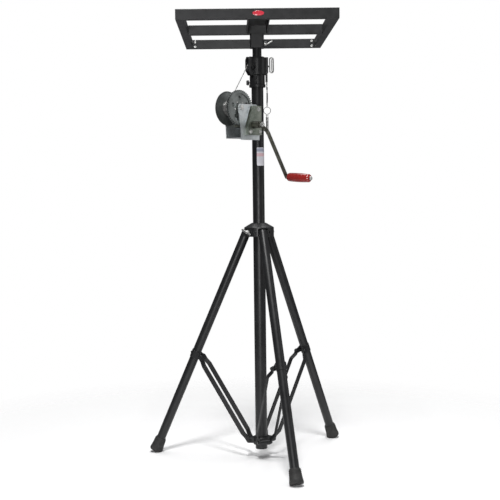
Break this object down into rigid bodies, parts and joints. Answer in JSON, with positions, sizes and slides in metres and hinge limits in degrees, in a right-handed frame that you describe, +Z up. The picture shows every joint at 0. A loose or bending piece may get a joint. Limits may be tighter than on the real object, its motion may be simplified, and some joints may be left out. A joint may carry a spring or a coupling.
{
  "type": "crank lighting stand",
  "caption": "Folding tripod stand with a telescopic mast raised by a hand-cranked cable winch, carrying a rectangular frame for lamps.",
  "frame": {"origin": "on the floor, under the middle of the stand's footprint box", "axes": "+Z up along the mast, +X along the lamp frame's long cross bars, +Y towards the rear bar"},
  "size_m": [0.8492, 0.9756, 1.829],
  "materials": {
    "black_paint": "satin black powder coat",
    "zinc": "zinc plated, dulled",
    "bright_steel": "bright zinc plated steel",
    "wire_rope": "galvanised stranded wire rope",
    "crank_steel": "dark yellow-green passivated steel, oiled",
    "red_plastic": "glossy dark red moulded plastic",
    "black_plastic": "moulded, fine grain",
    "rubber": "moulded black rubber",
    "cord": "braided black cord",
    "label": "plain pale sticker, no print",
    "badge": "plain red oval badge, no lettering"
  },
  "bodies": {
    "mast": {"outer_mast_tube": "black_paint", "mast_end_cap": "black_plastic", "strut_collar": "black_paint", "collar_bolt_front": "zinc", "collar_bolt_right": "zinc", "collar_bolt_left": "zinc", "mast_head": "black_paint", "mast_top_bush": "black_plastic", "pulley_axle": "zinc", "winch_saddle": "black_paint", "winch_frame": "zinc", "drum_axle": "zinc", "brake_cover": "zinc", "lift_cable": "wire_rope", "lift_cable_inner": "wire_rope", "lanyard": "cord", "lanyard_ring": "bright_steel", "safety_pin": "bright_steel"},
    "pulley": {"head_pulley": "black_plastic"},
    "drum": {"drum": "zinc", "drum_cable": "wire_rope", "drum_gear": "zinc"},
    "crank": {"pinion_shaft": "crank_steel", "ratchet_wheel": "zinc", "crank_arm": "crank_steel", "crank_nut": "bright_steel", "grip_spindle": "zinc"},
    "grip": {"crank_grip": "red_plastic"},
    "pawl": {"ratchet_pawl": "zinc"},
    "head_knob": {"head_knob": "black_plastic"},
    "latch": {"latch_pull": "bright_steel"},
    "inner_mast": {"inner_mast_tube": "black_paint", "inner_mast_guide": "black_plastic"},
    "lamp_frame": {"frame_front_bar": "black_paint", "frame_rear_bar": "black_paint", "frame_left_bar": "black_paint", "frame_right_bar": "black_paint", "frame_middle_bar": "black_paint", "frame_channel": "black_paint", "frame_socket": "black_paint"},
    "socket_screw": {"socket_screw": "bright_steel"},
    "hub": {"tripod_hub": "black_paint"},
    "hub_lock": {"hub_lock_screw": "bright_steel"},
    "leg_front": {"leg_tube_front": "black_paint", "rubber_foot_front": "rubber", "strut_clamp_front": "black_paint"},
    "struts_front": {"strut_front_a": "black_paint", "strut_front_b": "black_paint"},
    "leg_right": {"leg_tube_right": "black_paint", "rubber_foot_right": "rubber", "strut_clamp_right": "black_paint"},
    "struts_right": {"strut_right_a": "black_paint", "strut_right_b": "black_paint"},
    "leg_left": {"leg_tube_left": "black_paint", "rubber_foot_left": "rubber", "strut_clamp_left": "black_paint"},
    "struts_left": {"strut_left_a": "black_paint", "strut_left_b": "black_paint"}
  },
  "joints": [
    {"name": "crank_turn", "type": "hinge", "parent": "mast", "child": "crank", "pos_m": [0.00051, -0.06235, 1.409], "axis": [-0.6997, 0.7145, 0], "range_deg": [0, 8300]},
    {"name": "drum_turn", "type": "hinge", "parent": "mast", "child": "drum", "pos_m": [-0.03807, -0.10013, 1.479], "axis": [0.6997, -0.7145, 0], "range_deg": [0, 1985.28]},
    {"name": "pulley_turn", "type": "hinge", "parent": "mast", "child": "pulley", "pos_m": [0.03373, -0.02981, 1.65], "axis": [0.6997, -0.7145, 0], "range_deg": [0, 3562.38]},
    {"name": "mast_lift", "type": "slide", "parent": "mast", "child": "inner_mast", "axis": [0, 0, 1], "range_m": [0, 1.1506]},
    {"name": "grip_spin", "type": "hinge", "parent": "crank", "child": "grip", "pos_m": [0.17651, -0.032, 1.19514], "axis": [0.7262, -0.6851, -0.0575], "continuous": true},
    {"name": "pawl_lift", "type": "hinge", "parent": "mast", "child": "pawl", "pos_m": [0.05978, -0.07428, 1.399], "axis": [-0.6997, 0.7145, 0], "range_deg": [0, 14], "stiffness_Nm_per_rad": 0.05, "springref_deg": -11.46},
    {"name": "head_knob_turn", "type": "hinge", "parent": "mast", "child": "head_knob", "pos_m": [0.02195, -0.00217, 1.59], "axis": [-1, 0, 0], "range_deg": [0, 720]},
    {"name": "latch_pull_out", "type": "slide", "parent": "mast", "child": "latch", "axis": [1, 0, 0], "range_m": [0, 0.008], "stiffness_N_per_m": 600, "springref_m": -0.004},
    {"name": "frame_swivel", "type": "hinge", "parent": "inner_mast", "child": "lamp_frame", "pos_m": [0.06195, -0.00217, 1.76], "axis": [0, 0, 1], "range_deg": [-180, 180]},
    {"name": "socket_screw_turn", "type": "hinge", "parent": "lamp_frame", "child": "socket_screw", "pos_m": [0.10695, -0.00217, 1.752], "axis": [1, 0, 0], "range_deg": [0, 720]},
    {"name": "hub_slide", "type": "slide", "parent": "mast", "child": "hub", "axis": [0, 0, 1], "range_m": [0, 0.0954]},
    {"name": "hub_lock_turn", "type": "hinge", "parent": "hub", "child": "hub_lock", "pos_m": [0.01263, -0.05184, 0.966], "axis": [-0.7046, -0.7096, 0], "range_deg": [0, 540]},
    {"name": "leg_fold_front", "type": "hinge", "parent": "hub", "child": "leg_front", "pos_m": [0.07616, -0.05448, 0.965], "axis": [0.965, 0.2622, 0], "range_deg": [0, 21.92]},
    {"name": "strut_fold_front", "type": "hinge", "parent": "mast", "child": "struts_front", "pos_m": [0.07506, -0.05042, 0.074], "axis": [-0.965, -0.2622, 0], "range_deg": [0, 31.8]},
    {"name": "leg_fold_right", "type": "hinge", "parent": "hub", "child": "leg_right", "pos_m": [0.10014, 0.03628, 0.965], "axis": [-0.7096, 0.7046, 0], "range_deg": [0, 21.92]},
    {"name": "strut_fold_right", "type": "hinge", "parent": "mast", "child": "struts_right", "pos_m": [0.09718, 0.0333, 0.074], "axis": [0.7096, -0.7046, 0], "range_deg": [0, 31.8]},
    {"name": "leg_fold_left", "type": "hinge", "parent": "hub", "child": "leg_left", "pos_m": [0.00955, 0.01167, 0.965], "axis": [-0.2554, -0.9668, 0], "range_deg": [0, 21.92]},
    {"name": "strut_fold_left", "type": "hinge", "parent": "mast", "child": "struts_left", "pos_m": [0.01361, 0.0106, 0.074], "axis": [0.2554, 0.9668, 0], "range_deg": [0, 31.8]}
  ],
  "couplings": [
    {"joint": "drum_turn", "follows": "crank_turn", "ratio": 0.23913},
    {"joint": "pulley_turn", "follows": "crank_turn", "ratio": 0.42914},
    {"joint": "mast_lift", "follows": "crank_turn", "m_per_rad": 0.0079391},
    {"joint": "leg_fold_front", "follows": "hub_slide", "rad_per_m": 4.0066},
    {"joint": "strut_fold_front", "follows": "hub_slide", "rad_per_m": 5.8138},
    {"joint": "leg_fold_right", "follows": "hub_slide", "rad_per_m": 4.0066},
    {"joint": "strut_fold_right", "follows": "hub_slide", "rad_per_m": 5.8138},
    {"joint": "leg_fold_left", "follows": "hub_slide", "rad_per_m": 4.0066},
    {"joint": "strut_fold_left", "follows": "hub_slide", "rad_per_m": 5.8138}
  ]
}
